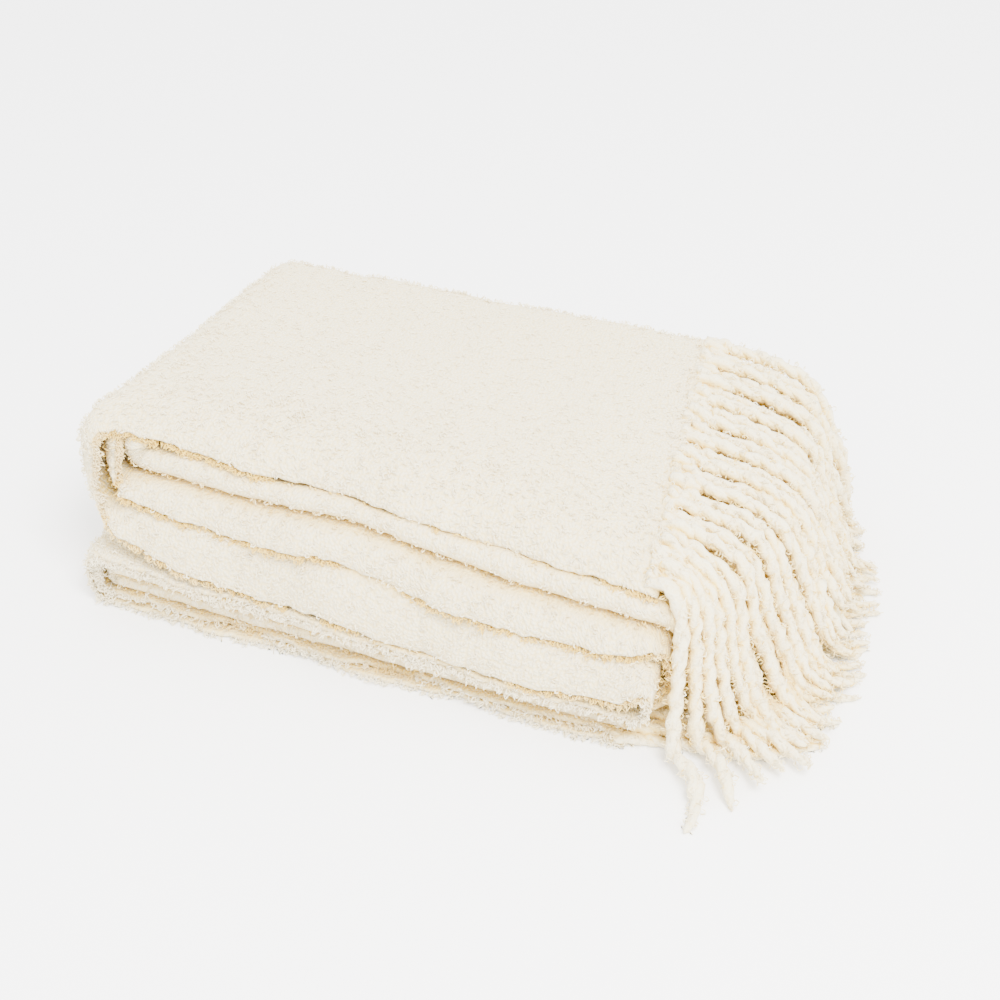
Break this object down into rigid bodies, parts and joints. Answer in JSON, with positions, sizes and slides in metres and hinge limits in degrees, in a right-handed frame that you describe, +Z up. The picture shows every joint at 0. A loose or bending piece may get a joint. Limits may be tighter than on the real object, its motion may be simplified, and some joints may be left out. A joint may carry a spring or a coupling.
{
  "type": "folded boucle throw with fringe",
  "caption": "Thick woven boucle throw folded lengthwise and crosswise into a neat stack, with twisted fringe on both short ends spilling over one side",
  "frame": {"origin": "centre of the ground rectangle that the throw with its fringe covers, on the surface it lies on", "axes": "+X from the folded ends to the fringed side, along the whole length; +Y from the front edges with the open selvedges to the folded back; +Z up through the plies"},
  "size_m": [0.577, 0.3966, 0.1543],
  "materials": {
    "boucle_cloth": "cream boucle weave with a pebbly grain of small loops, matt and fuzzy",
    "fringe_yarn": "cream loosely twisted yarn, matt and fuzzy"
  },
  "bodies": {
    "root": {"throw_cloth": "boucle_cloth", "fringe_top": "fringe_yarn", "fringe_base": "fringe_yarn"}
  },
  "joints": []
}
